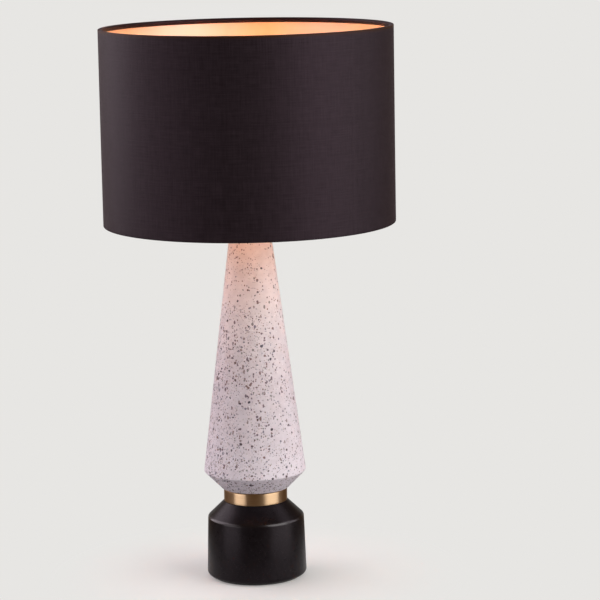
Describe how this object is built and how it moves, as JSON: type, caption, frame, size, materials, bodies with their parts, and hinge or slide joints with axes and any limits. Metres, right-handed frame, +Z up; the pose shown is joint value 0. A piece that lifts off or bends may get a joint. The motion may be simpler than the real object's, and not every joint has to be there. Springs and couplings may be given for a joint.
{
  "type": "table lamp",
  "caption": "Table lamp: black drum shade with gold lining on a tapered terrazzo body, with a brass collar and a black round foot.",
  "frame": {"origin": "centre of the underside, on the surface that the lamp stands on", "axes": "+Z up the lamp's axis, +Y to the rear where the flex enters, +X to the right seen from the front"},
  "size_m": [0.35, 0.3498, 0.668],
  "materials": {
    "felt": "matte",
    "black_base": "satin",
    "black_plastic": "satin",
    "steel": "satin",
    "brass": "satin",
    "gasket_rubber": "matte",
    "terrazzo": "matte",
    "ceramic_white": "satin",
    "cover_fabric": "matte",
    "gold_lining": "satin",
    "frame_wire": "satin",
    "opal_glass": "satin",
    "clear_glass": "gloss",
    "cap_metal": "satin",
    "black_glass": "gloss",
    "filament": "matte"
  },
  "bodies": {
    "lamp": {"base_pad": "felt", "base": "black_base", "cord_bush": "black_plastic", "clamp_washer": "steel", "lock_washer": "steel", "clamp_nut": "steel", "brass_collar": "brass", "collar_gasket": "gasket_rubber", "terrazzo_cone": "terrazzo", "threaded_tube": "steel", "cone_cap": "brass", "lock_nut": "steel", "holder_cap": "black_plastic", "holder_skirt": "black_plastic", "holder_insert": "ceramic_white", "holder_grub_screw": "steel", "screw_shell": "brass", "centre_contact": "brass", "side_contact": "brass", "terminal_screws": "steel", "lower_shade_ring": "black_plastic"},
    "shade": {"shade_cover": "cover_fabric", "shade_lining": "gold_lining", "top_wire_ring": "frame_wire", "bottom_wire_ring": "frame_wire", "shade_arms": "frame_wire", "carrier_ring": "frame_wire"},
    "ring": {"upper_shade_ring": "black_plastic"},
    "bulb": {"bulb_globe": "opal_glass", "bulb_cap": "cap_metal", "bulb_insulator": "black_glass", "bulb_contact": "cap_metal", "bulb_stem": "clear_glass", "bulb_filaments": "filament"}
  },
  "joints": [
    {"name": "shade_turn", "type": "hinge", "parent": "lamp", "child": "shade", "pos_m": [0, 0, 0.4832], "axis": [0, 0, 1], "continuous": true},
    {"name": "ring_turn", "type": "hinge", "parent": "lamp", "child": "ring", "pos_m": [0, 0, 0.485], "axis": [0, 0, 1], "range_deg": [0, 2016]},
    {"name": "bulb_lift", "type": "slide", "parent": "lamp", "child": "bulb", "axis": [0, 0, 1], "range_m": [0, 0.2]}
  ]
}
